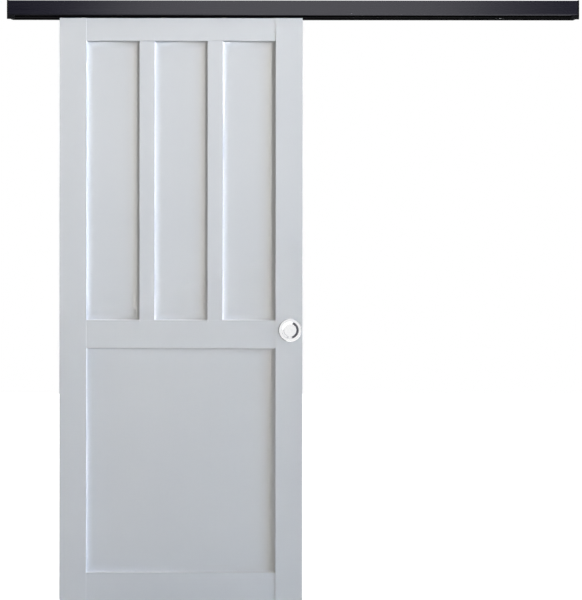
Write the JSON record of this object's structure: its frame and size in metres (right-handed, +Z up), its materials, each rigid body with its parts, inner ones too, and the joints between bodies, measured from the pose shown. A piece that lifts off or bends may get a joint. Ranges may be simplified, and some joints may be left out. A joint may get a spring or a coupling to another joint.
{
  "type": "sliding door set",
  "caption": "Wall-hung sliding door set: boxed aluminium track with a fascia and end caps, roller trolleys, a panelled leaf with round flush pulls, and a floor guide.",
  "frame": {"origin": "middle of the row of wall screws, on the wall's surface", "axes": "+X to the right for someone facing the leaf, +Y into the wall, +Z up"},
  "size_m": [1.96, 0.0808, 2.1083],
  "materials": {
    "dark_aluminium": "dark anodised, fine lengthwise brushing",
    "black_plastic": "fine moulded grain",
    "zinc_steel": "bright zinc plated",
    "cast_zinc": "tumbled casting",
    "bearing_steel": "ground",
    "tyre_nylon": "turned nylon",
    "buffer_rubber": "matt moulded",
    "guide_plastic": "moulded",
    "painted_wood": "sprayed satin cool-white paint",
    "bare_beech": "fluted, bare",
    "satin_chrome": "satin"
  },
  "bodies": {
    "track_set": {"track": "dark_aluminium", "fascia": "dark_aluminium", "end_cap_left": "black_plastic", "end_cap_right": "black_plastic", "wall_bracket_1": "zinc_steel", "wall_bracket_2": "zinc_steel", "wall_bracket_3": "zinc_steel", "wall_bracket_4": "zinc_steel", "bracket_bolts": "zinc_steel", "slide_nuts": "zinc_steel", "fascia_clip_1": "black_plastic", "fascia_clip_2": "black_plastic", "fascia_clip_3": "black_plastic", "fascia_clip_4": "black_plastic", "clip_screws": "zinc_steel", "stop_left": "cast_zinc", "stop_right": "cast_zinc", "stop_buffer_left": "buffer_rubber", "stop_buffer_right": "buffer_rubber", "stop_screws": "zinc_steel", "floor_guide": "guide_plastic"},
    "carriage_left": {"trolley_left": "cast_zinc"},
    "carriage_right": {"trolley_right": "cast_zinc"},
    "leaf": {"stile_left": "painted_wood", "stile_right": "painted_wood", "top_rail": "painted_wood", "lock_rail": "painted_wood", "bottom_rail": "painted_wood", "mullion_left": "painted_wood", "mullion_right": "painted_wood", "upper_panel_1": "painted_wood", "upper_panel_2": "painted_wood", "upper_panel_3": "painted_wood", "lower_panel": "painted_wood", "dowels": "bare_beech", "hanger_plate_left": "zinc_steel", "hanger_plate_right": "zinc_steel", "plate_screws": "zinc_steel", "pull_front": "satin_chrome", "pull_back": "satin_chrome"},
    "hanger_left": {"hanger_bolt_left": "zinc_steel", "lock_nut_left": "zinc_steel"},
    "wheelset_left_a": {"axle_left_a": "zinc_steel", "bearings_left_a": "bearing_steel", "tyres_left_a": "tyre_nylon"},
    "wheelset_left_b": {"axle_left_b": "zinc_steel", "bearings_left_b": "bearing_steel", "tyres_left_b": "tyre_nylon"},
    "hanger_right": {"hanger_bolt_right": "zinc_steel", "lock_nut_right": "zinc_steel"},
    "wheelset_right_a": {"axle_right_a": "zinc_steel", "bearings_right_a": "bearing_steel", "tyres_right_a": "tyre_nylon"},
    "wheelset_right_b": {"axle_right_b": "zinc_steel", "bearings_right_b": "bearing_steel", "tyres_right_b": "tyre_nylon"}
  },
  "joints": [
    {"name": "door_slide", "type": "slide", "parent": "track_set", "child": "carriage_left", "axis": [1, 0, 0], "range_m": [0, 0.769]},
    {"name": "right_trolley_slide", "type": "slide", "parent": "track_set", "child": "carriage_right", "axis": [1, 0, 0], "range_m": [0, 0.769]},
    {"name": "height_adjust", "type": "slide", "parent": "carriage_left", "child": "leaf", "axis": [0, 0, 1], "range_m": [-0.005, 0.003]},
    {"name": "hanger_left_turn", "type": "hinge", "parent": "leaf", "child": "hanger_left", "pos_m": [-0.652, -0.05, -0.052], "axis": [0, 0, 1], "range_deg": [-1441, 865]},
    {"name": "wheels_left_a_roll", "type": "hinge", "parent": "carriage_left", "child": "wheelset_left_a", "pos_m": [-0.68, -0.05, -0.0317], "axis": [0, 1, 0], "continuous": true},
    {"name": "wheels_left_b_roll", "type": "hinge", "parent": "carriage_left", "child": "wheelset_left_b", "pos_m": [-0.624, -0.05, -0.0317], "axis": [0, 1, 0], "continuous": true},
    {"name": "hanger_right_turn", "type": "hinge", "parent": "leaf", "child": "hanger_right", "pos_m": [-0.117, -0.05, -0.052], "axis": [0, 0, 1], "range_deg": [-1441, 865]},
    {"name": "wheels_right_a_roll", "type": "hinge", "parent": "carriage_right", "child": "wheelset_right_a", "pos_m": [-0.145, -0.05, -0.0317], "axis": [0, 1, 0], "continuous": true},
    {"name": "wheels_right_b_roll", "type": "hinge", "parent": "carriage_right", "child": "wheelset_right_b", "pos_m": [-0.089, -0.05, -0.0317], "axis": [0, 1, 0], "continuous": true}
  ],
  "couplings": [
    {"joint": "right_trolley_slide", "follows": "door_slide", "ratio": 1},
    {"joint": "hanger_left_turn", "follows": "height_adjust", "rad_per_m": 5026.5},
    {"joint": "wheels_left_a_roll", "follows": "door_slide", "rad_per_m": 111.11},
    {"joint": "wheels_left_b_roll", "follows": "door_slide", "rad_per_m": 111.11},
    {"joint": "hanger_right_turn", "follows": "height_adjust", "rad_per_m": 5026.5},
    {"joint": "wheels_right_a_roll", "follows": "door_slide", "rad_per_m": 111.11},
    {"joint": "wheels_right_b_roll", "follows": "door_slide", "rad_per_m": 111.11}
  ]
}
